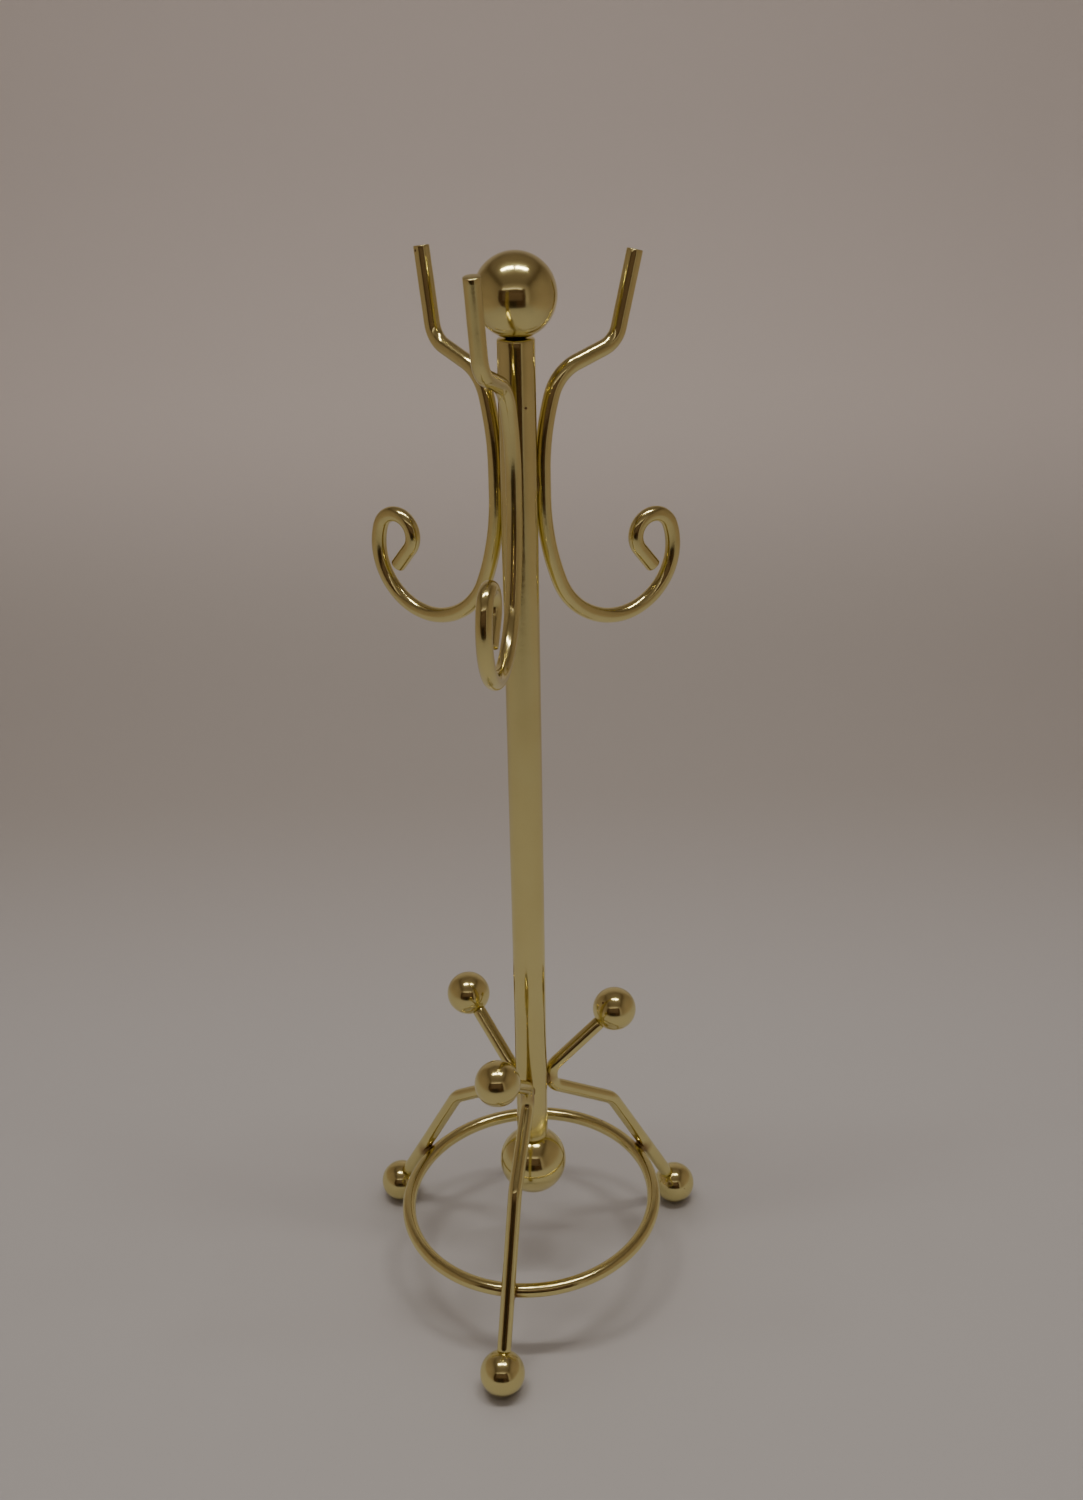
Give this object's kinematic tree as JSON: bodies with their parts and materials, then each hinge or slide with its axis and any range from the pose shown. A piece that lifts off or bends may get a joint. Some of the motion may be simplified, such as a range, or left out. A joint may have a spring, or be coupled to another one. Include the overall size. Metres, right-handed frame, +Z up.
{
  "type": "miniature hall tree",
  "caption": "Miniature brass wire stand: a round post with ball ends, scroll hooks and straight prongs brazed round its head, on bent ball-footed legs tied by a wire ring.",
  "frame": {"origin": "the post's axis where it meets the plane that the feet stand on", "axes": "+Z up along the post's axis; -Y is the front, the side of the front hook and the front leg; +X is to the right, seen from the front"},
  "size_m": [0.0513, 0.0485, 0.1524],
  "materials": {
    "brass": "polished, pale yellow, with fine pits and handling marks",
    "braze": "dull and darker than the wire, as left by the torch"
  },
  "bodies": {
    "root": {"post": "brass", "finial_ball": "brass", "base_ball": "brass", "hook_left": "brass", "hook_right": "brass", "hook_front": "brass", "leg_left": "brass", "leg_right": "brass", "leg_front": "brass", "base_ring": "brass", "foot_ball_left": "brass", "foot_ball_right": "brass", "foot_ball_front": "brass", "arm_ball_left": "brass", "arm_ball_right": "brass", "arm_ball_front": "brass", "hook_braze_left": "braze", "hook_braze_right": "braze", "hook_braze_front": "braze", "leg_braze_left": "braze", "leg_braze_right": "braze", "leg_braze_front": "braze", "ring_braze_left": "braze", "ring_braze_right": "braze", "ring_braze_front": "braze"}
  },
  "joints": []
}
